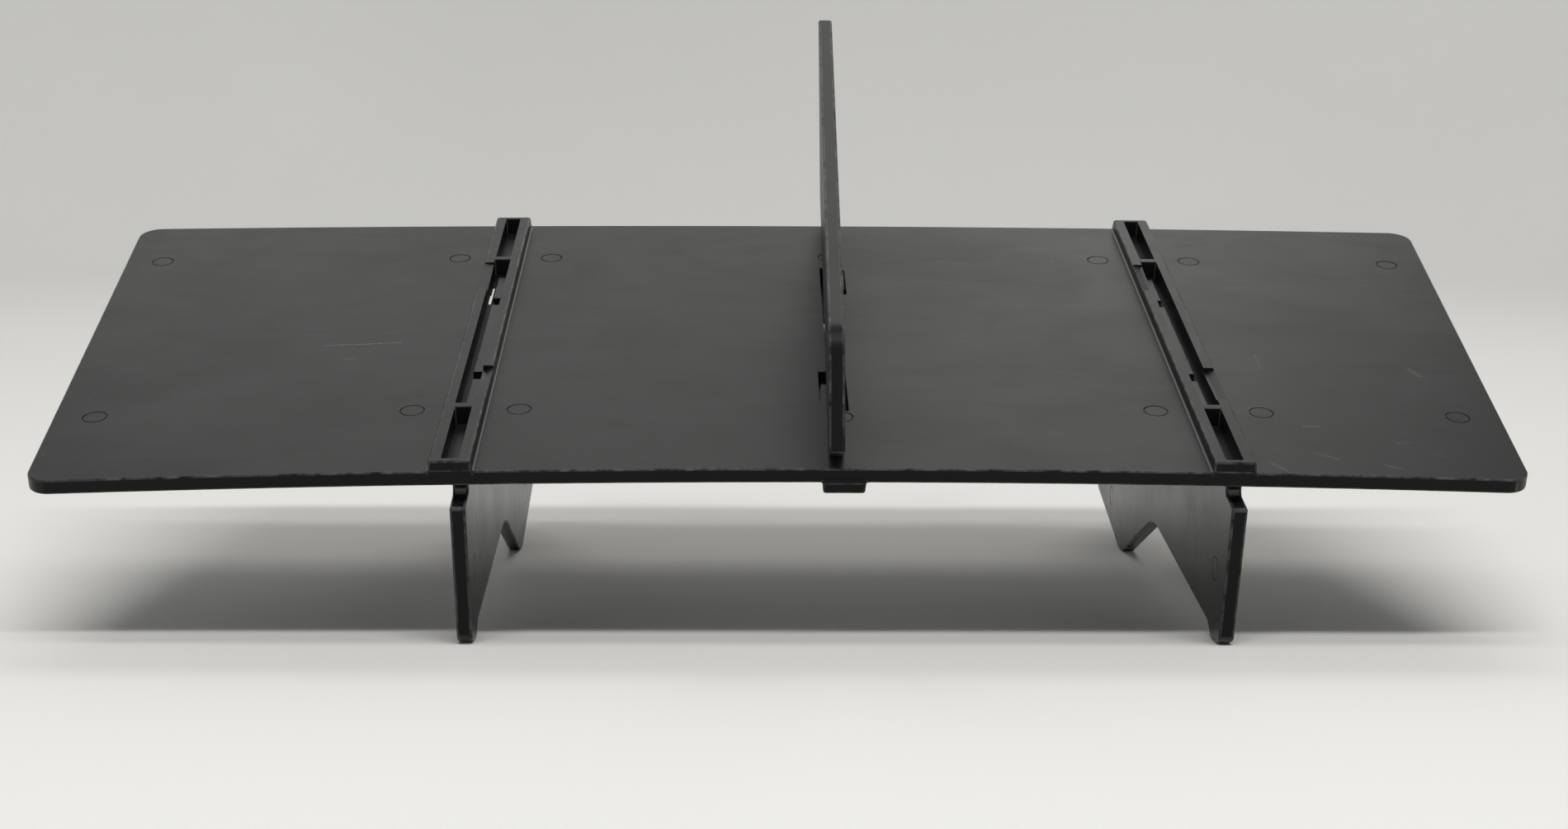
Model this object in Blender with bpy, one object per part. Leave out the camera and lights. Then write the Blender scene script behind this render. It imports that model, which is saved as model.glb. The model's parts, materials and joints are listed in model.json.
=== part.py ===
"""Photo album stand: a sloping moulded top plate carried on two push-in leg panels,
with a third panel standing up from the middle as a divider.

Everything is drawn square to the top plate first (x along the plate, y from its front
edge to its rear edge, z up from its top face, all in millimetres), then tipped so that
the feet of both legs stand flat on z = 0.
"""
import math

import bmesh
import bpy
from mathutils import Matrix, Vector

MM = 0.001

# ---- how the stand sits
SLOPE_DEG = 18.6            # the plate rises this much towards the rear
FOOT_DROP = 48.1            # plate face to the ground, square to the plate, at its front edge
FRONT_FOOT_Y = (0.9, 6.2)   # flats that touch the ground
REAR_FOOT_Y = (125.9, 131.2)

# ---- top plate
LEFT_FRONT = 195.0          # divider slot to the left end, measured at the front edge
RIGHT_FRONT = 165.0         # divider slot to the right end
FLARE_LEFT = 11.4           # how much longer each wing is at the rear edge
FLARE_RIGHT = 13.8
DEPTH = 166.0
THICK = 3.75
CORNER_R = 6.0
ARCH = 2.35                 # the ends hang lower than the middle, more so at the front
ARCH_HALF = 180.0
ARCH_X = 5.0
ARCH_FRONT = 1.375
ARCH_REAR = 0.625
EDGE_R = 0.45

# ---- slot rails
RAIL_X = {-1: -93.9, 1: 93.3}   # left and right slot centres, from the divider slot
RAIL_W = 10.0
RAIL_H = 2.8
RAIL_DRAFT = 0.4            # each side, top to root
END_DRAFT = 0.4             # share of that draft at a rail's ends
RAIL_ROUND = 0.5
BOSS_H = 2.9                # the middle rail hangs under the plate instead
SLOT_W = 4.5
POCKET_W = 4.2
POCKET_DEEP = 4.9
SLOT_Y = (32.8, 131.0)
POCKET_Y = ((1.5, 30.5), (133.3, 164.5))
NOTCH_Y = ((36.0, 55.5), (128.5, 109.0))    # ramps beside the fingers: shallow end, deep end
NOTCH_DEEP = (0.5, 1.25)    # at the slot's wall
NOTCH_FLAT = 0.9            # width of a ramp's floor, before it rises to the outer edge
NOTCH_RIM = 0.1             # how far it is still lowered just past that edge
RECESS_W = 2.5              # beside the slot on the flush side: a shelf, then a pit
RECESS_Y = ((38.7, 57.0), (129.0, 110.7))   # shelf's end, pit's end
SHELF_LONG = 10.8
SHELF_DEEP = 0.5
PIT_DEEP = 2.0
SLIT_W = 0.3                # along the shelf's outer side
SLIT_DEEP = 1.5

# ---- panels
PANEL_T = 3.9
PANEL_Y = (-2.2, 176.0)
LEDGE = 4.9                 # gap between the plate face and a panel's shoulders
NECK_Y = (6.0, 160.0)
NECK_GAP = 0.3
BAR_Y = (58.0, 104.0)
FINGER_Y = ((39.0, 53.5), (108.8, 124.5))
BAR_T = 2.2                 # looser in its slot than the panel is thick
FINGER_BACK = 1.5           # from a panel's middle plane to the straight side of a finger
FINGER_T = 2.2
TONGUE_UP = 4.2             # tongue height above the plate face it enters
BARB = 0.6
BARB_LOW, BARB_HIGH = 1.5, 0.9      # where the barb starts and peaks, below the tip
PANEL_EDGE = 0.65
LEG_FRONT_LOW = -46.2       # lower end of a leg's front edge
LEG_NOTCH = ((11.2, -48.1), (85.8, -58.4))
LEG_REAR_LOW = -92.4
LEG_RADII = (0.8, 2.6, 1.2, 1.2, 4.0, 30.0, 1.4, 1.4, 5.0, 1.0, 1.2, 0.6, 0.6, 1.2)
FIN_FRONT, FIN_REAR = 34.2, 62.2    # height of the divider at its front and rear
FIN_RADII = (0.8, 1.2, 0.6, 0.6, 1.2, 1.0, 2.4, 9.5)

# ---- ejector pads
PAD_R = 3.15
PAD_DEEP = 0.18
PAD_ROWS = (34.5, 139.0)
PAD_NEAR_RAIL = 13.4
PAD_END_LEFT = 184.5
PAD_END_RIGHT = 153.9
PAD_MIDDLE = ((0.0, 29.2), (0.0, 139.6))
LEG_PADS = ((8.7, -31.5), (148.5, -83.0), (150.0, -22.0), (64.0, -30.0))
FIN_PADS = ((16.0, 17.0), (150.0, 24.0), (88.0, 30.0))

# ---- working values
STRIP = 16.0                # the plate bends along strips of this width
OVERCUT = 1.0               # how far a cutter runs past the face that it opens
SUNK = 1.0                  # how far a rail or tongue is sunk into what carries it
BITE = 0.4                  # overlap of a side cutter with its slot
STRIP_CLEAR = 9.0           # no strip ends nearer than this to a slot's middle
WELD = 0.0001
CORNER_STEPS, FIN_STEPS, PAD_STEPS, BEVEL_STEPS = 6, 7, 20, 2
EDGE_BEVEL_DEG, PANEL_BEVEL_DEG, SMOOTH_DEG = 35.0, 60.0, 30.0

# ---- finish
BLACK = (0.012, 0.012, 0.013)
PLATE_ROUGH, PANEL_ROUGH = 0.42, 0.40


def clear_scene():
    for ob in list(bpy.data.objects):
        bpy.data.objects.remove(ob, do_unlink=True)


def material(name, colour, rough):
    mat = bpy.data.materials.new(name)
    mat.use_nodes = True
    bsdf = mat.node_tree.nodes["Principled BSDF"]
    bsdf.inputs["Base Color"].default_value = (*colour, 1.0)
    bsdf.inputs["Roughness"].default_value = rough
    bsdf.inputs["Metallic"].default_value = 0.0
    return mat


def arch(x, y):
    """Drop of the plate below its middle."""
    k = ARCH_FRONT + (ARCH_REAR - ARCH_FRONT) * y / DEPTH
    return ARCH * k * ((x - ARCH_X) / ARCH_HALF) ** 2


def round_outline(points, radii, steps):
    """Closed outline with every corner replaced by an arc."""
    out = []
    n = len(points)
    for i, p in enumerate(points):
        a, c = Vector(points[i - 1]), Vector(points[(i + 1) % n])
        p, r = Vector(p), radii[i]
        if r <= 0:
            out.append(tuple(p))
            continue
        u, v = (a - p).normalized(), (c - p).normalized()
        half = u.angle(v) / 2
        d = r / math.tan(half)
        t0, t1 = p + u * d, p + v * d
        centre = p + (u + v).normalized() * (r / math.sin(half))
        s, e = t0 - centre, t1 - centre
        total = s.angle(e)
        turn = math.copysign(1.0, s.x * e.y - s.y * e.x)
        for k in range(steps + 1):
            ang = turn * total * k / steps
            ca, sa = math.cos(ang), math.sin(ang)
            out.append((centre.x + s.x * ca - s.y * sa, centre.y + s.x * sa + s.y * ca))
    return out


def loft(name, start, end, lo, hi, axis):
    """Solid between two outlines with as many points, from lo to hi along an axis."""
    bm = bmesh.new()
    def place(u, v, w):
        return {"z": (u, v, w), "x": (w, u, v), "y": (u, w, v)}[axis]
    bottom = [bm.verts.new(place(u, v, lo)) for u, v in start]
    top = [bm.verts.new(place(u, v, hi)) for u, v in end]
    bm.faces.new(bottom)
    bm.faces.new(top)
    for i in range(len(start)):
        j = (i + 1) % len(start)
        bm.faces.new((bottom[i], bottom[j], top[j], top[i]))
    bmesh.ops.recalc_face_normals(bm, faces=bm.faces)
    me = bpy.data.meshes.new(name)
    bm.to_mesh(me)
    bm.free()
    ob = bpy.data.objects.new(name, me)
    bpy.context.scene.collection.objects.link(ob)
    return ob


def prism(name, outline, lo, hi, axis):
    return loft(name, outline, outline, lo, hi, axis)


def oblong(x, y):
    return [(x[0], y[0]), (x[1], y[0]), (x[1], y[1]), (x[0], y[1])]


def block(name, x, y, z):
    return prism(name, oblong(x, y), z[0], z[1], "z")


def tapered_rail(name, xc, z_root, z_top):
    """Rail with drafted sides, running the full depth of the plate."""
    foot, h = RAIL_W / 2 + RAIL_DRAFT, RAIL_W / 2
    long = RAIL_DRAFT * END_DRAFT
    low = oblong((xc - foot, xc + foot), (-long, DEPTH + long))
    high = oblong((xc - h, xc + h), (0.0, DEPTH))
    return loft(name, low, high, z_root, z_top, "z")


def disc(name, centre, lo, hi, axis):
    turns = [2 * math.pi * i / PAD_STEPS for i in range(PAD_STEPS)]
    pts = [(centre[0] + PAD_R * math.cos(a), centre[1] + PAD_R * math.sin(a)) for a in turns]
    return prism(name, pts, lo, hi, axis)


def combine(ob, others, operation):
    for other in others:
        mod = ob.modifiers.new("op", "BOOLEAN")
        mod.operation = operation
        mod.solver = "EXACT"
        mod.object = other
        bake(ob)
        bpy.data.objects.remove(other, do_unlink=True)
    return ob


def bake(ob):
    deps = bpy.context.evaluated_depsgraph_get()
    me = bpy.data.meshes.new_from_object(ob.evaluated_get(deps))
    old = ob.data
    ob.modifiers.clear()
    ob.data = me
    bpy.data.meshes.remove(old)


def soften(ob, width, angle=EDGE_BEVEL_DEG):
    mod = ob.modifiers.new("edge", "BEVEL")
    mod.width = width
    mod.segments = BEVEL_STEPS
    mod.limit_method = "ANGLE"
    mod.angle_limit = math.radians(angle)
    mod.use_clamp_overlap = True
    bake(ob)


def plate_outline():
    pts = [(-LEFT_FRONT, 0.0), (RIGHT_FRONT, 0.0),
           (RIGHT_FRONT + FLARE_RIGHT, DEPTH), (-LEFT_FRONT - FLARE_LEFT, DEPTH)]
    return round_outline(pts, [CORNER_R] * 4, CORNER_STEPS)


def span(a, b):
    return (min(a, b), max(a, b))


def side_cutter(xc, side, reach, y, z0, z1):
    """Block from just inside the slot's wall out to reach, on one side of the slot."""
    return block("cut", span(xc + side * (SLOT_W / 2 - BITE), xc + side * reach), y, span(z0, z1))


def slot_cutters(xc, face, back):
    """Through slot, blind end pockets, rail notches and flush-side recesses.

    face is the rail's outer face and back the plate face on the far side.
    """
    s = 1.0 if face > back else -1.0
    out, past = face + s * OVERCUT, back - s * OVERCUT
    half, pocket = SLOT_W / 2, POCKET_W / 2
    cuts = [block("cut", (xc - half, xc + half), SLOT_Y, span(past, out))]
    for y in POCKET_Y:
        cuts.append(block("cut", (xc - pocket, xc + pocket), y, span(face - s * POCKET_DEEP, out)))
    for notch, (start, end), side in zip(NOTCH_Y, RECESS_Y, (s, -s)):
        wall, flat = (xc + side * (half + w) for w in (-BITE, NOTCH_FLAT))
        beyond = xc + side * (RAIL_W / 2 + OVERCUT)
        ends = [[(wall, out), (wall, face - s * d), (flat, face - s * d),
                 (beyond, face - s * NOTCH_RIM), (beyond, out)] for d in NOTCH_DEEP]
        cuts.append(loft("cut", *ends, *notch, "y"))
        wide = half + RECESS_W
        step = start + math.copysign(SHELF_LONG, end - start)
        shelf, pit = span(start, step), span(step, end)
        cuts.append(side_cutter(xc, side, wide, shelf, back + s * SHELF_DEEP, past))
        cuts.append(side_cutter(xc, side, wide, pit, back + s * PIT_DEEP, past))
        slit = span(xc + side * (wide - SLIT_W), xc + side * wide)
        cuts.append(block("cut", slit, shelf, span(back + s * SLIT_DEEP, past)))
    return cuts


def slice_up(ob):
    """Cut the flat plate into strips across its length, clear of the rails, so it can bend."""
    bm = bmesh.new()
    bm.from_mesh(ob.data)
    x = -LEFT_FRONT - FLARE_LEFT + STRIP
    while x < RIGHT_FRONT + FLARE_RIGHT:
        if all(abs(x - c) > STRIP_CLEAR for c in (0.0, *RAIL_X.values())):
            geom = bm.verts[:] + bm.edges[:] + bm.faces[:]
            bmesh.ops.bisect_plane(bm, geom=geom, plane_co=(x, 0, 0), plane_no=(1, 0, 0),
                                   dist=WELD)
        x += STRIP
    bm.to_mesh(ob.data)
    bm.free()


def bend(ob):
    """Let the ends of the plate droop."""
    bm = bmesh.new()
    bm.from_mesh(ob.data)
    bmesh.ops.triangulate(bm, faces=bm.faces[:])
    for v in bm.verts:
        v.co.z -= arch(v.co.x, v.co.y)
    bmesh.ops.remove_doubles(bm, verts=bm.verts[:], dist=WELD)
    bmesh.ops.dissolve_degenerate(bm, edges=bm.edges[:], dist=WELD)
    bmesh.ops.recalc_face_normals(bm, faces=bm.faces[:])
    bm.to_mesh(ob.data)
    bm.free()


def pad_places():
    spots = list(PAD_MIDDLE)
    for y in PAD_ROWS:
        t = y / DEPTH
        spots.append((-PAD_END_LEFT - FLARE_LEFT * t, y))
        spots.append((PAD_END_RIGHT + FLARE_RIGHT * t, y))
        for side in (-1, 1):
            for step in (-PAD_NEAR_RAIL, PAD_NEAR_RAIL):
                spots.append((RAIL_X[side] + step, y))
    return spots


def make_plate(mat):
    ob = prism("top_plate", plate_outline(), -THICK, 0.0, "z")
    soften(ob, EDGE_R)
    slice_up(ob)
    rails = [tapered_rail("rail", xc, -SUNK, RAIL_H) for xc in RAIL_X.values()]
    rails.append(tapered_rail("rail", 0.0, SUNK - THICK, -THICK - BOSS_H))
    for r in rails:
        soften(r, RAIL_ROUND)
    combine(ob, rails, "UNION")
    cuts = []
    for xc in RAIL_X.values():
        cuts += slot_cutters(xc, RAIL_H, -THICK)
    cuts += slot_cutters(0.0, -THICK - BOSS_H, 0.0)
    for x, y in pad_places():
        cuts.append(disc("pad", (x, y), -PAD_DEEP, OVERCUT, "z"))
    combine(ob, cuts, "DIFFERENCE")
    bend(ob)
    ob.data.materials.clear()
    ob.data.materials.append(mat)
    return ob


def ground(y):
    """Height of the ground at y, in the plate's own frame."""
    return -FOOT_DROP - math.tan(math.radians(SLOPE_DEG)) * y


def leg_outline(base, top_y0, top_y1):
    """Leg, seen from its side: two feet with a shallow notch between them."""
    z = base - LEDGE
    feet = [(y, ground(y)) for y in FRONT_FOOT_Y + REAR_FOOT_Y]
    pts = [(PANEL_Y[0], z), (PANEL_Y[0], LEG_FRONT_LOW), *feet[:2], *LEG_NOTCH,
           *feet[2:], (PANEL_Y[1], LEG_REAR_LOW), (PANEL_Y[1], z),
           (NECK_Y[1], z), (NECK_Y[1], top_y1), (NECK_Y[0], top_y0), (NECK_Y[0], z)]
    return round_outline(pts, LEG_RADII, CORNER_STEPS)


def divider_outline(base):
    """Divider, seen from its side: short upright front, then a rising top edge."""
    z = base + LEDGE
    pts = [(PANEL_Y[0], z), (NECK_Y[0], z), (NECK_Y[0], base + NECK_GAP),
           (NECK_Y[1], base + NECK_GAP), (NECK_Y[1], z), (PANEL_Y[1], z),
           (PANEL_Y[1], FIN_REAR), (PANEL_Y[0], FIN_FRONT)]
    return round_outline(pts, FIN_RADII, FIN_STEPS)


def tongue(xc, base, out):
    """Bar and two hooked fingers that enter the slot; out is +1 upwards, -1 downwards."""
    root = base - out * (NECK_GAP + SUNK)
    tip = base + out * TONGUE_UP
    h = BAR_T / 2
    parts = [block("t", (xc - h, xc + h), BAR_Y, span(root, tip))]
    for y, s in zip(FINGER_Y, (-out, out)):
        back = s * FINGER_BACK
        face, barb = back - s * FINGER_T, back - s * (FINGER_T + BARB)
        shape = [(back, root), (face, root), (face, tip - out * BARB_LOW),
                 (barb, tip - out * BARB_HIGH), (face, tip), (back, tip)]
        parts.append(prism("t", [(xc + x, z) for x, z in shape], y[0], y[1], "y"))
    return parts


def panel_pads(xc, side, spots):
    h = PANEL_T / 2
    lo, hi = span(xc + side * (h - PAD_DEEP), xc + side * (h + OVERCUT))
    return [disc("pad", spot, lo, hi, "x") for spot in spots]


def finish_panel(ob, mat):
    bm = bmesh.new()
    bm.from_mesh(ob.data)
    bmesh.ops.triangulate(bm, faces=bm.faces[:])
    bmesh.ops.remove_doubles(bm, verts=bm.verts[:], dist=WELD)
    bmesh.ops.dissolve_degenerate(bm, edges=bm.edges[:], dist=WELD)
    bmesh.ops.recalc_face_normals(bm, faces=bm.faces[:])
    bm.to_mesh(ob.data)
    bm.free()
    ob.data.materials.clear()
    ob.data.materials.append(mat)
    return ob


def make_leg(name, side, mat):
    xc = RAIL_X[side]
    base = -THICK - arch(xc, 0.0)
    rear = -THICK - arch(xc, DEPTH)
    def face(y):
        return base + (rear - base) * y / DEPTH
    top0, top1 = face(NECK_Y[0]) - NECK_GAP, face(NECK_Y[1]) - NECK_GAP
    ob = prism(name, leg_outline(base, top0, top1), xc - PANEL_T / 2, xc + PANEL_T / 2, "x")
    soften(ob, PANEL_EDGE, PANEL_BEVEL_DEG)
    combine(ob, tongue(xc, face(sum(BAR_Y) / 2), 1), "UNION")
    combine(ob, panel_pads(xc, -side, LEG_PADS), "DIFFERENCE")
    return finish_panel(ob, mat)


def make_divider(mat):
    base = -arch(0.0, DEPTH / 2)
    ob = prism("divider", divider_outline(base), -PANEL_T / 2, PANEL_T / 2, "x")
    soften(ob, PANEL_EDGE, PANEL_BEVEL_DEG)
    combine(ob, tongue(0.0, base, -1), "UNION")
    combine(ob, panel_pads(0.0, 1, FIN_PADS), "DIFFERENCE")
    return finish_panel(ob, mat)


def smooth_by_angle(ob):
    me = ob.data
    for p in me.polygons:
        p.use_smooth = True
    bm = bmesh.new()
    bm.from_mesh(me)
    for e in bm.edges:
        flat = len(e.link_faces) == 2 and e.calc_face_angle(0.0) < math.radians(SMOOTH_DEG)
        e.smooth = flat
    bm.to_mesh(me)
    bm.free()


def stand_up(obs, pivots):
    """Tip the stand, set the feet on z = 0 and centre it, then give each piece its origin."""
    tip = Matrix.Rotation(math.radians(SLOPE_DEG), 4, "X") @ Matrix.Scale(MM, 4)
    for ob in obs:
        ob.data.transform(tip)
    pts = [v.co for ob in obs for v in ob.data.vertices]
    lo = Vector([min(p[i] for p in pts) for i in range(3)])
    hi = Vector([max(p[i] for p in pts) for i in range(3)])
    shift = Vector((-(lo.x + hi.x) / 2, -(lo.y + hi.y) / 2, -lo.z))
    for ob in obs:
        place = tip @ Vector(pivots[ob.name]) + shift
        ob.data.transform(Matrix.Translation(shift - place))
        ob.location = place
        smooth_by_angle(ob)


def main():
    clear_scene()
    plate = make_plate(material("plate_plastic", BLACK, PLATE_ROUGH))
    left = make_leg("left_leg", -1, material("left_leg_plastic", BLACK, PANEL_ROUGH))
    right = make_leg("right_leg", 1, material("right_leg_plastic", BLACK, PANEL_ROUGH))
    fin = make_divider(material("divider_plastic", BLACK, PANEL_ROUGH))
    mid_y = (SLOT_Y[0] + SLOT_Y[1]) / 2
    pivots = {"top_plate": (0.0, mid_y, 0.0), "divider": (0.0, mid_y, 0.0),
              "left_leg": (RAIL_X[-1], mid_y, -THICK), "right_leg": (RAIL_X[1], mid_y, -THICK)}
    stand_up([plate, left, right, fin], pivots)


main()
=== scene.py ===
"""Photo album stand: the looks of its four black mouldings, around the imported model.

Shapes are drawn square to the top plate, in millimetres: x along the plate from the
divider slot, y from the plate's front edge to its rear edge, z up from its top face.
"""
import json
import math
import random

import bmesh
import bpy
from mathutils import Matrix, Vector


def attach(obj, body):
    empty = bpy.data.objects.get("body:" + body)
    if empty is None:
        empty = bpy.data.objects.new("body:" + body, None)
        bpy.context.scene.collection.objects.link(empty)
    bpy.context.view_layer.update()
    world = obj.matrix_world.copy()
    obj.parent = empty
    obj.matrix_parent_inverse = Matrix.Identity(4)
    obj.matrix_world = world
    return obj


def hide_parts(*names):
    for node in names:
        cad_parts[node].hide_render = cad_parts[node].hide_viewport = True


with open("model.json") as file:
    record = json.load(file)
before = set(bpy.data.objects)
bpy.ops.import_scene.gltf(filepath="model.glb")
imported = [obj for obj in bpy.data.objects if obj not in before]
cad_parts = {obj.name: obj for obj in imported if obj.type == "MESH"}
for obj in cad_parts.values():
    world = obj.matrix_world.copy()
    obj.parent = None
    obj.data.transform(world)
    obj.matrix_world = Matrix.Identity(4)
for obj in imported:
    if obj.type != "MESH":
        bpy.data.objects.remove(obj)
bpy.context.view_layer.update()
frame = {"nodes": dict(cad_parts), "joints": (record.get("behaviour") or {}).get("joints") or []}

MM = 0.001
RNG = random.Random(7)

# ---- top plate
LEFT_FRONT, RIGHT_FRONT = 195.0, 165.0
FLARE_LEFT, FLARE_RIGHT = 11.4, 13.8
DEPTH = 166.0
THICK = 3.75
CORNER_R = 6.0
EDGE_R = 0.45
ARCH, ARCH_HALF, ARCH_X = 2.35, 180.0, 5.0
ARCH_FRONT, ARCH_REAR = 1.375, 0.625
SLICE, SLICE_CLEAR = 8.0, 9.0   # strips that the plate bends along, and how near a slot's middle

# ---- slot rails
RAIL_X = {-1: -93.9, 1: 93.3}
RAIL_W, RAIL_H, RAIL_DRAFT = 10.0, 2.8, 0.4
END_DRAFT = 0.4                 # share of a rail's draft at its ends
SUNK = 1.0                      # how far a rail or tongue is sunk into what carries it
RAIL_ROUND = 0.5
RAIL_FILLET = 0.35
RAIL_CORNER, RAIL_CORNER_STEPS, RAIL_ARC = 0.55, 5, 4
BOSS_H = 2.9
SLOT_W, POCKET_W, POCKET_DEEP = 4.5, 4.2, 4.9
SLOT_Y = (32.8, 131.0)
POCKET_Y = ((1.5, 30.5), (133.3, 164.5))
NOTCH_Y = ((36.0, 55.5), (128.5, 109.0))    # ramps beside the fingers: shallow end, deep end
NOTCH_DEEP = (0.5, 1.25)        # at the slot's wall
NOTCH_FLAT, NOTCH_RIM = 0.9, 0.1    # width of a ramp's floor, depth just past the outer edge
RECESS_W = 2.5                  # flush side: a shelf with a slit, then a pit
RECESS_Y = ((38.7, 57.0), (129.0, 110.7))
SHELF_LONG, SHELF_DEEP = 10.8, 0.35
SHELF_LAP = 0.02                # share of its length that a shelf runs into its pit
PIT_DEEP = {-1: 1.2, 1: 1.2, 0: 3.4}
SLIT_W, SLIT_DEEP = (0.12, 0.5), 1.5    # width at the shelf's end, at the pit
WEB = {-1: (0.3, 1.5), 1: (0.3, 1.5), 0: (4.8, 6.2)}    # from the flush side: fits the tongue
WEB_GAP = 0.14
GAP_Y = {-1: (109.0, 123.6), 1: (109.0, 123.6), 0: (88.0, 103.6)}   # daylight beside a tongue
GAP_X = {-1: (-2.25, -1.45), 1: (-2.25, -0.65), 0: (-2.25, 0.1)}
OVERCUT = 1.0                   # how far a cutter runs past the face that it opens
BITE = 0.4                      # overlap of a side cutter with its slot
LIP, LIP_MID = 0.16, 0.29       # rounding of a slot's rim, and its middle ring as a share
PAST_WEB = 0.5                  # how far the daylight gap's cutter runs past the web

# ---- panels
PANEL_T = 3.9
PANEL_Y = (-2.2, 176.0)
PANEL_EDGE = 0.65
LEDGE = 4.9
NECK_Y = (6.0, 160.0)
NECK_GAP = 0.3
FOOT_DROP, SLOPE = 48.1, math.radians(18.6)
FRONT_FOOT_Y, REAR_FOOT_Y = (0.9, 6.2), (125.9, 131.2)
LEG_FRONT_LOW, LEG_REAR_LOW = -46.2, -92.4
LEG_NOTCH = ((11.2, -48.1), (85.8, -58.4))
LEG_RADII = (0.8, 2.6, 1.2, 1.2, 4.0, 30.0, 1.4, 1.4, 5.0, 1.0, 1.2, 0.6, 0.6, 1.2)
FIN_FRONT, FIN_REAR = 34.2, 62.2    # height of the divider at its front and rear
FIN_RADII = (0.8, 1.2, 0.6, 0.6, 1.2, 1.0, 2.4, 9.5)
BAR_Y = (58.0, 104.0)
FINGER_Y = ((38.4, 53.5), (108.8, 124.5))
BAR_T, TONGUE_UP, BARB = 2.6, 4.2, 0.4
TIP_LOW = 0.6                   # the tongues stop this much short of their packed length
FINGER_BACK, FINGER_T = 1.05, 2.2
TONGUE_EDGE, TONGUE_STEPS, TONGUE_ROUNDS = 0.22, 3, 2
TONGUE_CORNERS = (0.3, 0.3, 0.3, 0.3)
BARB_LOW, BARB_HIGH = 1.5, 0.9  # where the barb starts and peaks, below the tip
HOOK_CORNERS = (0.3, 0.3, 0.2, 0.12, 0.2, 0.3)
TONGUE_OFF = {-1: 0.6, 1: -0.65, 0: 0.1}     # tongue off its slot's middle
LEG_PLAY = (1.65, 150.0)        # a leg's front sits this far to the right, less to the rear
FIN_PLAY = (-1.9, 0.016, 0.021)  # divider: at its front, per mm to the rear, per mm of height
FIN_FOOT = 0.5                  # its foot stands this much further right, but not at its front
FIN_FOOT_Y, FIN_FOOT_Z = (20.0, 50.0), 12.0     # from here, over this length; up to this height

# ---- ejector marks
PAD_R = 3.15
PAD_ROWS = (34.5, 139.0)
PAD_NEAR_RAIL = 13.4
PAD_END_LEFT, PAD_END_RIGHT = 184.5, 153.9
PAD_MIDDLE = ((0.2, 29.2), (0.6, 139.6))
LEG_PADS = ((8.7, -31.5), (148.5, -83.0), (150.0, -22.0), (64.0, -30.0))
FIN_PADS = ((16.0, 17.0), (150.0, 24.0), (88.0, 30.0))


# ---- meshes
CUT_MERGE, WELD, DEGENERATE = 0.0001, 0.002, 0.001
SHARP_DEG, TURN_DEG = 34, (7, 40)   # edges kept sharp; edges that belong to a rounding
NARROW, LONG = 0.25, 2.0            # area over perimeter, and perimeter, of a rounding's faces
AXES = {"z": lambda u, v, w: (u, v, w), "x": lambda u, v, w: (w, u, v),
        "y": lambda u, v, w: (u, w, v)}


# ---------------------------------------------------------------- outlines

def rounded(points, radii, steps):
    """Closed outline with an arc at every corner."""
    out = []
    for i, point in enumerate(points):
        p = Vector(point)
        u = (Vector(points[i - 1]) - p).normalized()
        v = (Vector(points[(i + 1) % len(points)]) - p).normalized()
        half = u.angle(v) / 2
        reach = radii[i] / math.tan(half)
        centre = p + (u + v).normalized() * (radii[i] / math.sin(half))
        s, e = p + u * reach - centre, p + v * reach - centre
        turn = math.copysign(s.angle(e), s.x * e.y - s.y * e.x)
        for k in range(steps + 1):
            ca, sa = math.cos(turn * k / steps), math.sin(turn * k / steps)
            out.append((centre.x + s.x * ca - s.y * sa, centre.y + s.x * sa + s.y * ca))
    return out


def inset(points, radii, d, steps):
    """The same outline moved inwards by d, with as many points."""
    n = len(points)
    area = sum(points[i - 1][0] * points[i][1] - points[i][0] * points[i - 1][1] for i in range(n))
    way = math.copysign(1.0, area)
    moved, turned = [], []
    for i in range(n):
        p = Vector(points[i])
        a = (p - Vector(points[i - 1])).normalized()
        b = (Vector(points[(i + 1) % n]) - p).normalized()
        na, nb = Vector((-a.y, a.x)) * way, Vector((-b.y, b.x)) * way
        moved.append(tuple(p + (na + nb) * (d / (1.0 + na.dot(nb)))))
        convex = (a.x * b.y - a.y * b.x) * way > 0
        turned.append(max(radii[i] - d, 0.04) if convex else radii[i] + d)
    return rounded(moved, turned, steps)


def as_object(name, bm):
    """Turn a finished bmesh into an object in the scene."""
    bmesh.ops.recalc_face_normals(bm, faces=bm.faces)
    me = bpy.data.meshes.new(name)
    bm.to_mesh(me)
    bm.free()
    ob = bpy.data.objects.new(name, me)
    bpy.context.scene.collection.objects.link(ob)
    return ob


def stack(name, rings, axis="z"):
    """Closed solid through a pile of outlines with the same number of points."""
    order = AXES[axis]
    bm = bmesh.new()
    loops = [[bm.verts.new(order(u, v, w)) for u, v in outline] for outline, w in rings]
    bm.faces.new(loops[0])
    bm.faces.new(loops[-1])
    n = len(loops[0])
    for low, high in zip(loops, loops[1:]):
        for i in range(n):
            j = (i + 1) % n
            bm.faces.new((low[i], low[j], high[j], high[i]))
    return as_object(name, bm)


def slab(name, points, radii, lo, hi, edge, axis, steps=10, rounds=4):
    """Flat piece whose two rims are rounded by edge."""
    rings = []
    for k in range(rounds + 1):
        t = math.pi / 2 * k / rounds
        rings.append((edge * (1 - math.sin(t)), edge * (1 - math.cos(t))))
    pile = [(inset(points, radii, d, steps), lo + w) for d, w in rings]
    pile += [(inset(points, radii, d, steps), hi - w) for d, w in reversed(rings)]
    return stack(name, pile, axis)


def rect(x, y, grow_x=0.0, grow_y=0.0, r=0.2, steps=3):
    pts = [(x[0] - grow_x, y[0] - grow_y), (x[1] + grow_x, y[0] - grow_y),
           (x[1] + grow_x, y[1] + grow_y), (x[0] - grow_x, y[1] + grow_y)]
    return rounded(pts, [r] * 4, steps)


# ---------------------------------------------------------------- solids

def bake(ob):
    deps = bpy.context.evaluated_depsgraph_get()
    me = bpy.data.meshes.new_from_object(ob.evaluated_get(deps))
    old = ob.data
    ob.modifiers.clear()
    ob.data = me
    bpy.data.meshes.remove(old)


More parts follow.
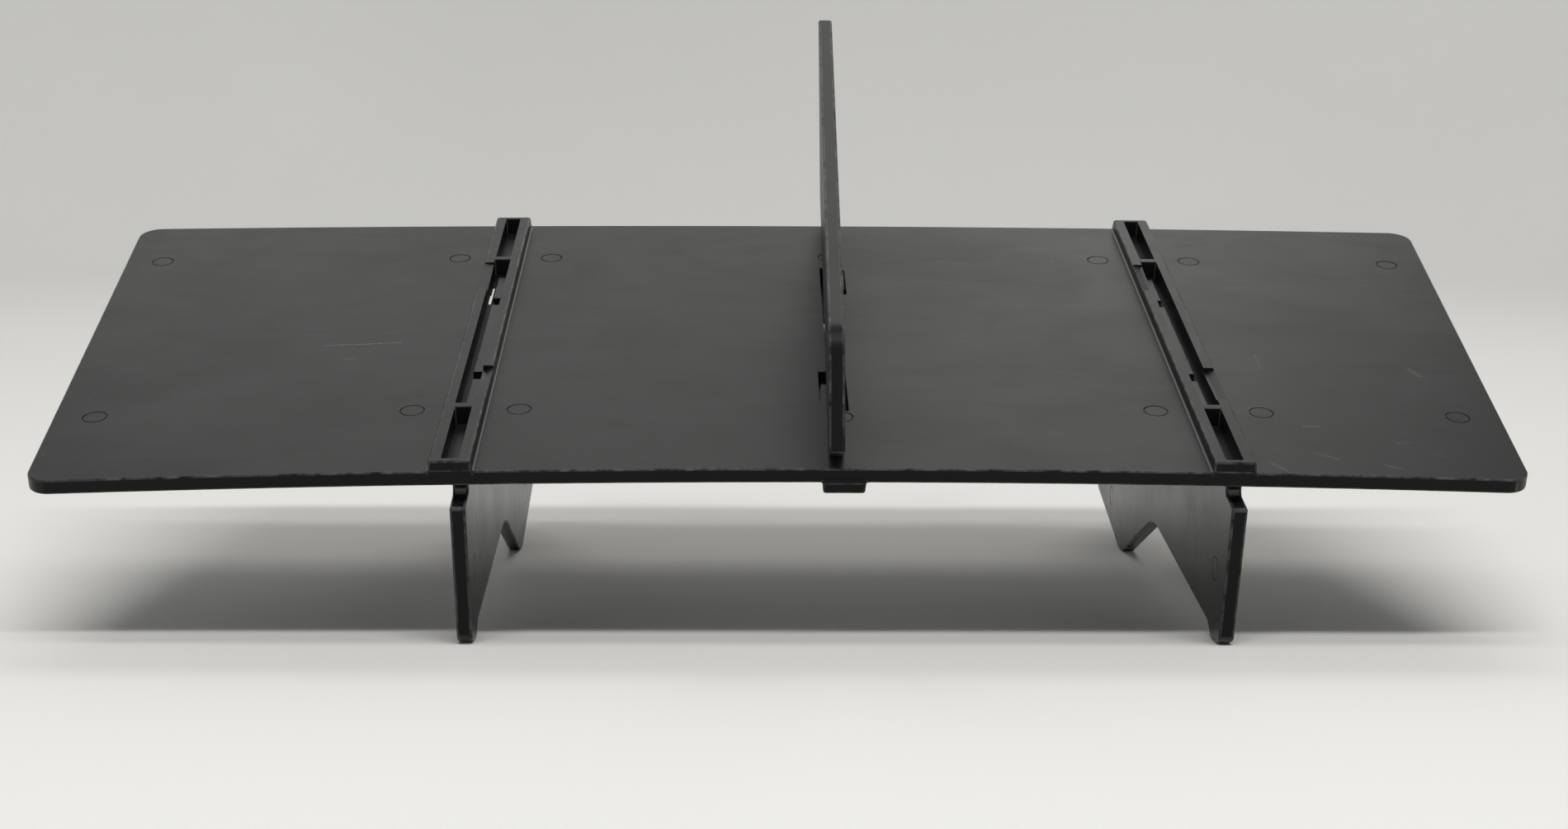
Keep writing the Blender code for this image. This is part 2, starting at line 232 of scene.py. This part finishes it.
def combine(ob, others, operation):
    """One exact boolean with many operands."""
    group = bpy.data.collections.new("operands")
    for other in others:
        group.objects.link(other)
    mod = ob.modifiers.new("op", "BOOLEAN")
    mod.operation = operation
    mod.solver = "EXACT"
    mod.operand_type = "COLLECTION"
    mod.collection = group
    bake(ob)
    for other in others:
        bpy.data.objects.remove(other, do_unlink=True)
    bpy.data.collections.remove(group)


def edit(ob, change):
    bm = bmesh.new()
    bm.from_mesh(ob.data)
    change(bm)
    bm.to_mesh(ob.data)
    bm.free()


def arch(x, y):
    """Drop of the plate below its middle."""
    k = ARCH_FRONT + (ARCH_REAR - ARCH_FRONT) * y / DEPTH
    return ARCH * k * ((x - ARCH_X) / ARCH_HALF) ** 2


def rail(xc, root, top):
    """Drafted rail with a small fillet where it leaves the plate and a rounded top rim."""
    way = math.copysign(1.0, top - root)
    tall = abs(top - root)
    pile = []

    def ring(up, extra):
        grow = RAIL_DRAFT * (1 - up / tall)
        x = (xc - RAIL_W / 2, xc + RAIL_W / 2)
        outline = rect(x, (0.0, DEPTH), grow + extra[0], END_DRAFT * grow + extra[1],
                       RAIL_CORNER, RAIL_CORNER_STEPS)
        pile.append((outline, root + way * up))

    ring(0.0, (RAIL_FILLET, 0.0))
    for k in range(RAIL_ARC + 1):
        t = math.pi / 2 * k / RAIL_ARC
        ring(SUNK + RAIL_FILLET * (1 - math.cos(t)), (RAIL_FILLET * (1 - math.sin(t)), 0.0))
    for k in range(RAIL_ARC + 1):
        t = math.pi / 2 * k / RAIL_ARC
        back = -RAIL_ROUND * (1 - math.cos(t))
        ring(tall - RAIL_ROUND * (1 - math.sin(t)), (back, back))
    return stack("rail", pile)


def opening(x, y, deep, out, rims):
    """Cutter from deep to out, opened up by a rounded lip at the rim height, if it has one."""
    way = math.copysign(1.0, out - deep)
    pile = [(rect(x, y), deep)]
    for z in rims:
        pile += [(rect(x, y, g, g), z - way * w) for g, w in
                 ((0.0, LIP), (LIP * LIP_MID, LIP * LIP_MID), (LIP, 0.0))]
    grow = LIP if rims else 0.0
    pile.append((rect(x, y, grow, grow), out))
    return stack("cut", pile)


def span(a, b):
    return (min(a, b), max(a, b))


def slot_cutters(side, face, back):
    """Slot, blind end pockets, ramps beside the fingers and recesses on the flush side.

    face is the rail's outer face and back the plate face on the far side. A web inside
    the slot only leaves room for the tongue, and one gap that daylight passes.
    """
    xc = RAIL_X.get(side, 0.0)
    s = math.copysign(1.0, face - back)
    out, past = face + s * OVERCUT, back - s * OVERCUT
    half, pocket = SLOT_W / 2, POCKET_W / 2
    web_near, web_far = WEB[side]
    cuts = [opening((xc - half, xc + half), SLOT_Y, back + s * web_far, out, (face,)),
            opening((xc - half, xc + half), SLOT_Y, back + s * web_near, past, (back,))]
    for y in POCKET_Y:
        cuts.append(opening((xc - pocket, xc + pocket), y, face - s * POCKET_DEEP, out,
                            (face,)))
    cuts += tongue(xc + TONGUE_OFF[side], back, s, WEB_GAP)
    gap = tuple(xc + x for x in GAP_X[side])
    cuts.append(opening(gap, GAP_Y[side], past, back + s * (web_far + PAST_WEB), ()))
    for notch, (start, end), way in zip(NOTCH_Y, RECESS_Y, (s, -s)):
        wall, flat = (xc + way * (half + w) for w in (-BITE, NOTCH_FLAT))
        beyond = xc + way * (RAIL_W / 2 + OVERCUT)
        ends = [([(wall, out), (wall, face - s * d), (flat, face - s * d),
                  (beyond, face - s * NOTCH_RIM), (beyond, out)], y)
                for d, y in zip(NOTCH_DEEP, notch)]
        cuts.append(stack("cut", ends, "y"))
        step = start + math.copysign(SHELF_LONG, end - start)
        wide = xc + way * (half + RECESS_W)
        across = span(xc + way * (half - BITE), wide)
        lap = step + (step - start) * SHELF_LAP
        cuts.append(opening(across, span(start, lap), back + s * SHELF_DEEP, past, (back,)))
        cuts.append(opening(across, span(step, end), back + s * PIT_DEEP[side], past, (back,)))
        slit = [(wide - way * SLIT_W[0], start), (wide, start), (wide, lap),
                (wide - way * SLIT_W[1], lap)]
        cuts.append(stack("cut", [(slit, back + s * SLIT_DEEP), (slit, past)]))
    return cuts


def mark(centre, face, out, axis, steps=48):
    """Cutter for an ejector mark: a shallow disc inside a fine groove, slightly tilted."""
    lean, turn = RNG.uniform(0.006, 0.017), RNG.uniform(0.0, 2 * math.pi)
    sink = RNG.uniform(0.0, 0.03)
    profile = ((PAD_R - 0.36, sink), (PAD_R - 0.26, 0.23), (PAD_R - 0.1, 0.24),
               (PAD_R, 0.02), (PAD_R + 0.03, -1.0))
    order = AXES[axis]
    bm = bmesh.new()
    loops = []
    for r, deep in profile:
        loop = []
        for i in range(steps):
            a = 2 * math.pi * i / steps
            tilt = r * lean * math.cos(a - turn) if deep > 0 or r < PAD_R else 0.0
            w = face - out * (deep + tilt)
            loop.append(bm.verts.new(order(centre[0] + r * math.cos(a),
                                           centre[1] + r * math.sin(a), w)))
        loops.append(loop)
    bm.faces.new(loops[0])
    bm.faces.new(loops[-1])
    for low, high in zip(loops, loops[1:]):
        for i in range(steps):
            j = (i + 1) % steps
            bm.faces.new((low[i], low[j], high[j], high[i]))
    return as_object("mark", bm)


def slice_up(ob):
    """Cut the flat plate into strips across its length, clear of the rails."""
    def cut(bm):
        x = -LEFT_FRONT - FLARE_LEFT + SLICE
        while x < RIGHT_FRONT + FLARE_RIGHT:
            if all(abs(x - c) > SLICE_CLEAR for c in (0.0, *RAIL_X.values())):
                geom = bm.verts[:] + bm.edges[:] + bm.faces[:]
                bmesh.ops.bisect_plane(bm, geom=geom, plane_co=(x, 0, 0), plane_no=(1, 0, 0),
                                       dist=CUT_MERGE)
            x += SLICE
    edit(ob, cut)


def pad_places():
    spots = list(PAD_MIDDLE)
    for y in PAD_ROWS:
        t = y / DEPTH
        spots.append((-PAD_END_LEFT - FLARE_LEFT * t, y))
        spots.append((PAD_END_RIGHT + FLARE_RIGHT * t, y))
        for xc in RAIL_X.values():
            spots += [(xc - PAD_NEAR_RAIL, y), (xc + PAD_NEAR_RAIL, y)]
    return spots


def make_plate():
    points = [(-LEFT_FRONT, 0.0), (RIGHT_FRONT, 0.0),
              (RIGHT_FRONT + FLARE_RIGHT, DEPTH), (-LEFT_FRONT - FLARE_LEFT, DEPTH)]
    ob = slab("top_plate_shell", points, [CORNER_R] * 4, -THICK, 0.0, EDGE_R, "z")
    slice_up(ob)
    rails = [rail(xc, -SUNK, RAIL_H) for xc in RAIL_X.values()]
    rails.append(rail(0.0, SUNK - THICK, -THICK - BOSS_H))
    combine(ob, rails, "UNION")
    cuts = []
    for side in RAIL_X:
        cuts += slot_cutters(side, RAIL_H, -THICK)
    cuts += slot_cutters(0, -THICK - BOSS_H, 0.0)
    cuts += [mark(spot, 0.0, 1.0, "z") for spot in pad_places()]
    combine(ob, cuts, "DIFFERENCE")

    def droop(bm):
        for v in bm.verts:
            v.co.z -= arch(v.co.x, v.co.y)
    edit(ob, droop)
    return ob


def ground(y):
    return -FOOT_DROP - math.tan(SLOPE) * y


def leg_outline(base, top):
    z = base - LEDGE
    feet = [(y, ground(y)) for y in FRONT_FOOT_Y + REAR_FOOT_Y]
    points = [(PANEL_Y[0], z), (PANEL_Y[0], LEG_FRONT_LOW), *feet[:2], *LEG_NOTCH, *feet[2:],
              (PANEL_Y[1], LEG_REAR_LOW), (PANEL_Y[1], z), (NECK_Y[1], z), (NECK_Y[1], top[1]),
              (NECK_Y[0], top[0]), (NECK_Y[0], z)]
    return points, LEG_RADII


def fin_outline(base):
    z = base + LEDGE
    points = [(PANEL_Y[0], z), (NECK_Y[0], z), (NECK_Y[0], base + NECK_GAP),
              (NECK_Y[1], base + NECK_GAP), (NECK_Y[1], z), (PANEL_Y[1], z),
              (PANEL_Y[1], FIN_REAR), (PANEL_Y[0], FIN_FRONT)]
    return points, FIN_RADII


def tongue(xc, base, out, gap=0.0):
    """Bar and two hooked fingers that enter the slot; out is +1 upwards, -1 downwards.

    With a gap, the same pieces as cutters, that much larger all round.
    """
    root, tip = base - out * (NECK_GAP + SUNK), base + out * (TONGUE_UP - TIP_LOW)
    h = BAR_T / 2 + gap
    bar = [(xc - h, root), (xc + h, root), (xc + h, tip), (xc - h, tip)]
    y = (BAR_Y[0] - gap, BAR_Y[1] + gap)
    parts = [slab("bar", bar, TONGUE_CORNERS, *y, TONGUE_EDGE, "y",
                  TONGUE_STEPS, TONGUE_ROUNDS)]
    for y, s in zip(FINGER_Y, (-out, out)):
        back, face = s * (FINGER_BACK + gap), s * (FINGER_BACK - FINGER_T - gap)
        barb = face - s * BARB
        if gap:
            shape = [(back, root), (barb, root), (barb, tip), (back, tip)]
            radii = TONGUE_CORNERS
        else:
            shape = [(back, root), (face, root), (face, tip - out * BARB_LOW),
                     (barb, tip - out * BARB_HIGH), (face, tip), (back, tip)]
            radii = HOOK_CORNERS
        shape = [(xc + x, z) for x, z in shape]
        y = (y[0] - gap, y[1] + gap)
        parts.append(slab("finger", shape, radii, *y, TONGUE_EDGE, "y",
                          TONGUE_STEPS, TONGUE_ROUNDS))
    return parts


def shift_x(ob, amount):
    """Move every point sideways by amount(y, z)."""
    def move(bm):
        for v in bm.verts:
            v.co.x += amount(v.co.y, v.co.z)
    edit(ob, move)


def panel(name, outline, xc, marks, side, parts, lean):
    """Panel that leans a little, with a tongue that sits square in its slot."""
    points, radii = outline
    ob = slab(name, points, radii, xc - PANEL_T / 2, xc + PANEL_T / 2, PANEL_EDGE, "x")
    face = xc + side * PANEL_T / 2
    combine(ob, [mark(spot, face, side, "x") for spot in marks], "DIFFERENCE")
    shift_x(ob, lean)
    combine(ob, parts, "UNION")
    return ob


def make_leg(name, side):
    xc = RAIL_X[side]
    front, rear = -THICK - arch(xc, 0.0), -THICK - arch(xc, DEPTH)

    def under(y):
        return front + (rear - front) * y / DEPTH
    outline = leg_outline(front, [under(y) - NECK_GAP for y in NECK_Y])
    play, reach = LEG_PLAY
    parts = tongue(xc + TONGUE_OFF[side], under(sum(BAR_Y) / 2), 1)
    return panel(name, outline, xc, LEG_PADS, -side, parts, lambda y, z: play * (1.0 - y / reach))


def make_fin(name):
    base = -arch(0.0, DEPTH / 2)
    start, yaw, tip = FIN_PLAY

    def lean(y, z):
        along = min(max((y - FIN_FOOT_Y[0]) / FIN_FOOT_Y[1], 0.0), 1.0)
        foot = along * max(1.0 - z / FIN_FOOT_Z, 0.0)
        return start + yaw * y - tip * max(z, 0.0) + FIN_FOOT * foot
    parts = tongue(TONGUE_OFF[0], base, -1)
    return panel(name, fin_outline(base), 0.0, FIN_PADS, 1, parts, lean)


# ---------------------------------------------------------------- finish of a mesh

def crisp(ob, place):
    """Smooth shading, sharp edges kept, and marks on the faces of rims and root fillets."""
    def mark_sharp(bm):
        bmesh.ops.remove_doubles(bm, verts=bm.verts[:], dist=WELD)
        bmesh.ops.dissolve_degenerate(bm, edges=bm.edges[:], dist=DEGENERATE)
        bmesh.ops.recalc_face_normals(bm, faces=bm.faces[:])
        sharp, low, high = (math.radians(a) for a in (SHARP_DEG, *TURN_DEG))
        rim = bm.faces.layers.float.new("rim")
        root = bm.faces.layers.float.new("root")
        for e in bm.edges:
            e.smooth = len(e.link_faces) == 2 and e.calc_face_angle(0.0) < sharp
        for f in bm.faces:
            f.smooth = True
            turning = [e.is_convex for e in f.edges if len(e.link_faces) == 2
                       and low < e.calc_face_angle(0.0) < high]
            around = f.calc_perimeter()
            narrow = f.calc_area() / max(around, 1e-6) < NARROW
            f[rim] = 1.0 if narrow and turning.count(True) >= 2 else 0.0
            f[root] = 1.0 if narrow and around > LONG and turning.count(False) >= 2 else 0.0
    edit(ob, mark_sharp)
    mod = ob.modifiers.new("normals", "WEIGHTED_NORMAL")
    mod.mode = "FACE_AREA"
    mod.weight = 100
    mod.keep_sharp = True
    bake(ob)
    ob.data.transform(place @ Matrix.Scale(MM, 4))


def plate_to_world():
    """Where the plate's own axes lie, from the divider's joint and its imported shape."""
    joint = next(j for j in frame["joints"] if j["name"] == "divider_pull")
    turn = Vector((0, 0, 1)).rotation_difference(Vector(joint["axis"])).to_matrix().to_4x4()
    pts = [turn.inverted() @ v.co for v in frame["nodes"]["divider"].data.vertices]
    lo = Vector([min(p[i] for p in pts) for i in range(3)])
    hi = Vector([max(p[i] for p in pts) for i in range(3)])
    base = -arch(0.0, DEPTH / 2)
    corner = Vector(((lo.x + hi.x) / 2, lo.y - PANEL_Y[0] * MM, lo.z + (TONGUE_UP - base) * MM))
    return Matrix.Translation(turn @ corner) @ turn


# ---------------------------------------------------------------- materials

class Nodes:
    """Short ways to add and link shader nodes."""

    def __init__(self, name):
        self.mat = bpy.data.materials.new(name)
        self.mat.use_nodes = True
        self.tree = self.mat.node_tree
        self.bsdf = self.tree.nodes["Principled BSDF"]

    def add(self, kind, inputs=(), **settings):
        node = self.tree.nodes.new(kind)
        for key, value in settings.items():
            setattr(node, key, value)
        for key, value in dict(inputs).items():
            self.put(node.inputs[key], value)
        return node

    def put(self, socket, value):
        if isinstance(value, bpy.types.NodeSocket):
            self.tree.links.new(value, socket)
        else:
            socket.default_value = value

    def math(self, operation, a, b=0.0, clamp=False):
        node = self.add("ShaderNodeMath", {0: a, 1: b}, operation=operation)
        node.use_clamp = clamp
        return node.outputs[0]

    def vmath(self, operation, a, b=(0, 0, 0), out=0):
        node = self.add("ShaderNodeVectorMath", {0: a, 1: b}, operation=operation)
        return node.outputs[out]

    def noise(self, vector, scale, detail=2.0, rough=0.5, distort=0.0):
        node = self.add("ShaderNodeTexNoise", {"Vector": vector, "Scale": scale, "Detail": detail,
                                               "Roughness": rough, "Distortion": distort})
        return node.outputs["Fac"]

    def span(self, value, lo, hi, to_lo=0.0, to_hi=1.0):
        node = self.add("ShaderNodeMapRange", {"Value": value, "From Min": lo, "From Max": hi,
                                               "To Min": to_lo, "To Max": to_hi})
        return node.outputs[0]

    def mix(self, factor, a, b):
        node = self.add("ShaderNodeMix", data_type="RGBA")
        for socket, value in ((node.inputs[0], factor), (node.inputs[6], a), (node.inputs[7], b)):
            self.put(socket, value)
        return node.outputs[2]

    def stroke(self, vector, start, end, width):
        """1 on a straight stroke between two points, fading out across its width."""
        a, b = Vector((*start, 0.0)), Vector((*end, 0.0))
        along = b - a
        flat = self.vmath("MULTIPLY", vector, (1, 1, 0))
        off = self.vmath("SUBTRACT", flat, a)
        t = self.math("DIVIDE", self.vmath("DOT_PRODUCT", off, along, 1), along.length_squared,
                      clamp=True)
        scaled = self.add("ShaderNodeVectorMath", {0: along, "Scale": t}, operation="SCALE")
        away = self.vmath("DISTANCE", off, scaled.outputs[0], 1)
        return self.span(away, 0.0, width, 1.0, 0.0)


BLACK, CHARCOAL = (0.0068, 0.0068, 0.0074, 1), (0.0100, 0.0098, 0.0100, 1)
PALE, DUST = (0.30, 0.30, 0.295, 1), (0.42, 0.42, 0.41, 1)
# Painted highlights: the first colour lightens rounded rims and the second the rails' root
# fillets, in place of the light lines that those edges catch.
RIM_HIGHLIGHT, ROOT_HIGHLIGHT = (0.11, 0.11, 0.112, 1), (0.13, 0.13, 0.13, 1)
TINT = (0.12, 0.12, 0.125, 1)       # holds back the face-on reflection, not the grazing one
PLATE_LOW = -8.0                    # scuffs lie only above this height
PANEL_ROUGH = 0.31
SCUFFS = (
    # on the plate's top face: start, end, width, strength
    ((-136.2, 76.0), (-115.9, 77.4), 0.42, 0.60),
    ((-129.8, 67.2), (-127.1, 67.1), 0.40, 0.34),
    ((-122.2, 83.7), (-117.0, 84.4), 0.35, 0.20),
    ((154.2, 122.0), (156.2, 123.0), 0.50, 0.24),
    ((152.0, 63.5), (153.6, 59.5), 1.10, 0.26),
    ((112.4, 71.1), (112.2, 62.5), 0.50, 0.20),
    ((115.8, 26.8), (119.5, 27.2), 0.90, 0.26),
    ((115.0, 12.0), (120.0, 9.0), 0.80, 0.22),
    ((137.0, 18.5), (140.5, 19.0), 0.50, 0.26),
    ((103.4, 5.5), (106.1, 2.1), 0.70, 0.30),
    ((130.8, 6.2), (134.8, 4.2), 0.55, 0.32),
    ((145.0, 13.0), (147.4, 11.5), 0.60, 0.18),
)


def plastic(name, seed, place, scuffs=(), rough=0.38):
    """Black moulded plastic: fine grain, soft sink waves, handling smears, specks and scuffs, with
    painted highlights on rims and root fillets.
    """
    n = Nodes(name)
    coord = n.add("ShaderNodeTexCoord").outputs["Object"]
    back = place.inverted()
    here = n.add("ShaderNodeMapping", {"Vector": coord, "Scale": (1.0 / MM,) * 3,
                                       "Rotation": back.to_euler(),
                                       "Location": back.translation / MM}).outputs[0]
    moved = n.vmath("ADD", here, (seed * 37.0, seed * 11.0, seed * 5.0))
    cloud = n.noise(moved, 0.021, 3.0, 0.55, 0.6)
    smear = n.noise(n.vmath("MULTIPLY", moved, (0.35, 1.0, 1.0)), 0.075, 4.0, 0.6, 1.2)
    grain = n.noise(moved, 1.9, 2.0, 0.65)
    peel = n.noise(moved, 0.55, 2.0, 0.5)

    # Painted highlight on rounded rims, where they catch light, broken up by noise; it also lowers
    # the roughness there.
    rim = n.add("ShaderNodeAttribute", attribute_name="rim").outputs["Fac"]
    rim_highlight = n.math("MULTIPLY", rim, n.span(n.noise(moved, 0.30, 4.0, 0.65), 0.36, 0.66))
    # Root fillets get a painted highlight: the light line that they catch where the rails leave
    # the plate.
    root = n.add("ShaderNodeAttribute", attribute_name="root").outputs["Fac"]

    cell = n.add("ShaderNodeTexVoronoi", {"Vector": moved, "Scale": 0.085, "Randomness": 1.0})
    near = n.span(cell.outputs["Distance"], 0.008, 0.019, 1.0, 0.0)
    chance = n.vmath("DOT_PRODUCT", cell.outputs["Color"], (1, 0, 0), 1)
    pick = n.math("GREATER_THAN", chance, 0.62)
    speck = n.math("MULTIPLY", near, pick)

    hair = n.noise(n.vmath("MULTIPLY", moved, (0.05, 1.6, 1.0)), 1.0, 2.0, 0.6, 0.15)
    hair = n.math("MULTIPLY", n.span(hair, 0.70, 0.78), n.span(smear, 0.5, 0.66))

    scuff = n.math("MULTIPLY", hair, 0.05)
    if scuffs:
        broken = n.span(n.noise(moved, 1.3, 4.0, 0.7), 0.32, 0.70)
        height = n.add("ShaderNodeSeparateXYZ", {0: here}).outputs[2]
        top = n.math("GREATER_THAN", height, PLATE_LOW)
        for start, end, width, strength in scuffs:
            line = n.math("MULTIPLY", n.stroke(here, start, end, width), strength)
            seen = n.math("MULTIPLY", line, n.math("MULTIPLY", broken, top))
            scuff = n.math("MAXIMUM", scuff, seen)

    colour = n.mix(cloud, BLACK, CHARCOAL)
    colour = n.mix(n.math("MULTIPLY", rim_highlight, 0.60), colour, RIM_HIGHLIGHT)
    colour = n.mix(n.math("MULTIPLY", root, 0.7), colour, ROOT_HIGHLIGHT)
    colour = n.mix(scuff, colour, PALE)
    colour = n.mix(n.math("MULTIPLY", speck, 0.75), colour, DUST)
    n.put(n.bsdf.inputs["Base Color"], colour)

    shine = n.span(cloud, 0.3, 0.7, rough - 0.035, rough + 0.035)
    shine = n.math("ADD", shine, n.span(smear, 0.42, 0.70, -0.012, 0.025))
    shine = n.math("SUBTRACT", shine, n.math("MULTIPLY", rim_highlight, 0.07))
    shine = n.math("ADD", shine, n.math("MULTIPLY", n.math("MAXIMUM", scuff, speck), 0.25))
    n.put(n.bsdf.inputs["Roughness"], shine)
    n.bsdf.inputs["IOR"].default_value = 1.5
    n.bsdf.inputs["Specular Tint"].default_value = TINT

    waves = n.add("ShaderNodeBump", {"Height": cloud, "Strength": 1.0, "Distance": 0.00012})
    soft = n.add("ShaderNodeBump", {"Height": peel, "Strength": 1.0, "Distance": 0.000010,
                                    "Normal": waves.outputs[0]})
    fine = n.add("ShaderNodeBump", {"Height": grain, "Strength": 1.0, "Distance": 0.000016,
                                    "Normal": soft.outputs[0]})
    n.put(n.bsdf.inputs["Normal"], fine.outputs[0])
    return n.mat


def paper_white(name):
    """Matte pale sweep."""
    n = Nodes(name)
    coord = n.add("ShaderNodeTexCoord").outputs["Object"]
    tone = n.noise(coord, 1.3, 3.0, 0.5, 0.4)
    colour = n.mix(tone, (0.74, 0.74, 0.725, 1), (0.80, 0.80, 0.79, 1))
    n.put(n.bsdf.inputs["Base Color"], colour)
    n.bsdf.inputs["Roughness"].default_value = 0.85
    n.bsdf.inputs["Specular IOR Level"].default_value = 0.2
    return n.mat


# ---------------------------------------------------------------- stage

FLAT_RINGS = (0.25, 0.6, 1.1, 1.75)     # the last one is the flat floor's radius
SWEEP_R, SWEEP_STEPS, WALL = 0.9, 12, 0.55
AROUND = 96
# name, place, aim, size, watts, colour
LIGHTS = (
    ("key", (0.15, -1.30, 1.85), (0.0, 0.0, 0.05), (1.8, 0.16), 29.0, (1.0, 0.985, 0.96)),
    ("top", (-0.1, -0.75, 2.1), (0.0, 0.0, 0.05), (1.8, 0.25), 11.0, (1.0, 0.99, 0.97)),
    ("over", (0.1, 0.85, 2.0), (0.0, 0.1, 0.0), (1.8, 0.7), 10.0, (1.0, 0.98, 0.94)),
    ("rear", (-0.1, 1.95, 1.55), (0.0, 0.1, 0.1), (2.4, 1.4), 7.2, (1.0, 0.99, 0.97)),
    ("glow", (0.46, 1.9, 1.5), (0.0, 0.1, 0.1), (0.5, 1.4), 1.0, (1.0, 0.98, 0.93)),
)
SKY, SKY_STRENGTH = (0.97, 0.985, 1.0, 1), 0.14
CAMERA_AT = (-0.01031, -0.62514, 0.11918)
CAMERA_TURN_DEG = (83.5164, -0.3149, -0.9973)
SENSOR_MM, LENS_MM = 36.0, 51.957


def sweep():
    """Round floor that curves up into a low wall on every side."""
    flat = FLAT_RINGS[-1]
    profile = [(r, 0.0) for r in FLAT_RINGS]
    for k in range(1, SWEEP_STEPS + 1):
        t = math.pi / 2 * k / SWEEP_STEPS
        profile.append((flat + SWEEP_R * math.sin(t), SWEEP_R * (1 - math.cos(t))))
    profile.append((flat + SWEEP_R, SWEEP_R + WALL))
    bm = bmesh.new()
    rings = [[bm.verts.new((r * math.cos(2 * math.pi * i / AROUND),
                            r * math.sin(2 * math.pi * i / AROUND), z))
              for i in range(AROUND)] for r, z in profile]
    bm.faces.new(rings[0])
    for low, high in zip(rings, rings[1:]):
        for i in range(AROUND):
            j = (i + 1) % AROUND
            bm.faces.new((low[i], low[j], high[j], high[i])).smooth = True
    ob = as_object("floor", bm)
    ob.data.materials.append(paper_white("floor_white"))


def soft_light(name, where, aim, size, power, colour):
    data = bpy.data.lights.new(name, "AREA")
    data.shape = "RECTANGLE"
    data.size, data.size_y = size
    data.energy = power
    data.color = colour
    ob = bpy.data.objects.new(name, data)
    bpy.context.scene.collection.objects.link(ob)
    ob.location = where
    ob.rotation_euler = (Vector(aim) - Vector(where)).to_track_quat("-Z", "Y").to_euler()


def lights():
    for light in LIGHTS:
        soft_light(*light)
    world = bpy.data.worlds.new("studio")
    world.use_nodes = True
    background = world.node_tree.nodes["Background"]
    background.inputs["Color"].default_value = SKY
    background.inputs["Strength"].default_value = SKY_STRENGTH
    bpy.context.scene.world = world
    bpy.context.scene.view_settings.view_transform = "Standard"


def camera():
    """The photograph's viewing angle."""
    data = bpy.data.cameras.new("camera")
    data.sensor_width = SENSOR_MM
    data.lens = LENS_MM
    ob = bpy.data.objects.new("camera", data)
    bpy.context.scene.collection.objects.link(ob)
    ob.location = CAMERA_AT
    ob.rotation_euler = [math.radians(a) for a in CAMERA_TURN_DEG]
    bpy.context.scene.camera = ob


# ---------------------------------------------------------------- the stand

def main():
    place = plate_to_world()
    jobs = (
        (make_plate(), "top_plate", "plate",
         plastic("plate_finish", 1, place, SCUFFS)),
        (make_leg("left_leg_shell", -1), "left_leg", "left_leg_panel",
         plastic("left_leg_finish", 2, place, rough=PANEL_ROUGH)),
        (make_leg("right_leg_shell", 1), "right_leg", "right_leg_panel",
         plastic("right_leg_finish", 3, place, rough=PANEL_ROUGH)),
        (make_fin("divider_shell"), "divider", "divider_panel",
         plastic("divider_finish", 4, place)),
    )
    for ob, node, body, mat in jobs:
        crisp(ob, place)
        ob.data.materials.clear()
        ob.data.materials.append(mat)
        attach(ob, body)
        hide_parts(node)
    sweep()
    lights()
    camera()


main()
